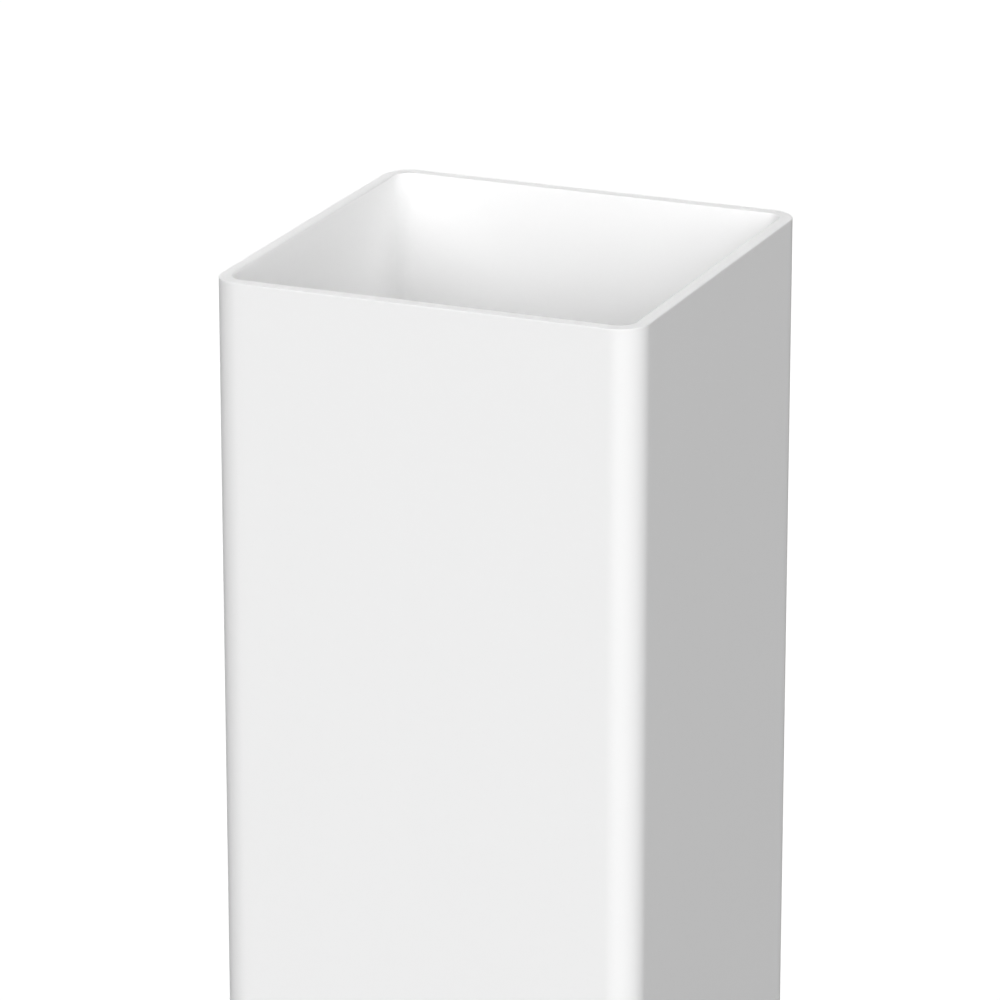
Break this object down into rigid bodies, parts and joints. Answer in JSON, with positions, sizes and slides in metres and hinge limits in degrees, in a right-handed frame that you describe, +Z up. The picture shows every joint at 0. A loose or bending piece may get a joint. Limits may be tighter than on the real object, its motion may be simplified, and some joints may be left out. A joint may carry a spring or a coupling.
{
  "type": "vinyl fence post",
  "caption": "Hollow square vinyl fence post with rounded corners and plain faces, open at its cut ends, to carry rails and a cap.",
  "frame": {"origin": "middle of the lower cut end, at ground level", "axes": "+Z up along the post, -Y out of the front face, +X out of the right face"},
  "size_m": [0.127, 0.127, 1.2192],
  "materials": {
    "white_vinyl": "plain white extruded rigid vinyl, satin, with fine lines along its length and saw-cut ends"
  },
  "bodies": {
    "root": {"fence_post": "white_vinyl"}
  },
  "joints": []
}
